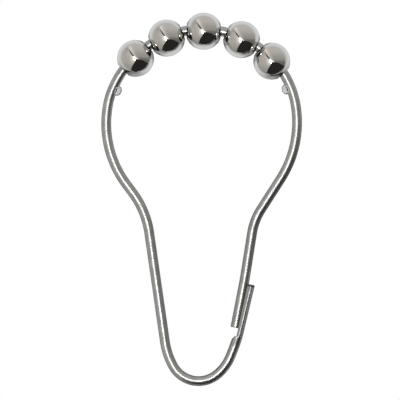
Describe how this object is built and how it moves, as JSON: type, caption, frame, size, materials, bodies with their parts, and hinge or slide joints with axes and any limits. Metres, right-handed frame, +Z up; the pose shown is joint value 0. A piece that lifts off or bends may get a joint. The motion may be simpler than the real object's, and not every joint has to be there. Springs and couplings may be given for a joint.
{
  "type": "shower curtain hook",
  "caption": "Pear-shaped loop of round spring wire with drilled balls that roll along a curtain rod; its overlapping ends snap together at a latch on one leg.",
  "frame": {"origin": "centre of the crown's bend, which is the axis of the curtain rod that it hangs on", "axes": "+X to the viewer's right with the latch leg, +Y along the rod away from the viewer, +Z up"},
  "size_m": [0.0407, 0.0074, 0.0757],
  "materials": {
    "wire": "bright drawn wire, satin, with fine marks along it",
    "balls": "mirror polished chrome plate"
  },
  "bodies": {
    "loop": {"ring_wire": "wire"},
    "ball_1": {"roller_ball_1": "balls"},
    "ball_2": {"roller_ball_2": "balls"},
    "ball_3": {"roller_ball_3": "balls"},
    "ball_4": {"roller_ball_4": "balls"},
    "ball_5": {"roller_ball_5": "balls"}
  },
  "joints": [
    {"name": "ball_1_roll", "type": "hinge", "parent": "loop", "child": "ball_1", "pos_m": [-0.01355, 0, 0.01388], "axis": [0.7154, 0, 0.6987], "continuous": true},
    {"name": "ball_2_roll", "type": "hinge", "parent": "loop", "child": "ball_2", "pos_m": [-0.00724, 0, 0.018], "axis": [0.9278, 0, 0.3732], "continuous": true},
    {"name": "ball_3_roll", "type": "hinge", "parent": "loop", "child": "ball_3", "pos_m": [0.00027, 0, 0.0194], "axis": [0.9999, 0, -0.014], "continuous": true},
    {"name": "ball_4_roll", "type": "hinge", "parent": "loop", "child": "ball_4", "pos_m": [0.00796, 0, 0.01769], "axis": [0.9119, 0, -0.4105], "continuous": true},
    {"name": "ball_5_roll", "type": "hinge", "parent": "loop", "child": "ball_5", "pos_m": [0.01411, 0, 0.01332], "axis": [0.6865, 0, -0.7271], "continuous": true}
  ]
}
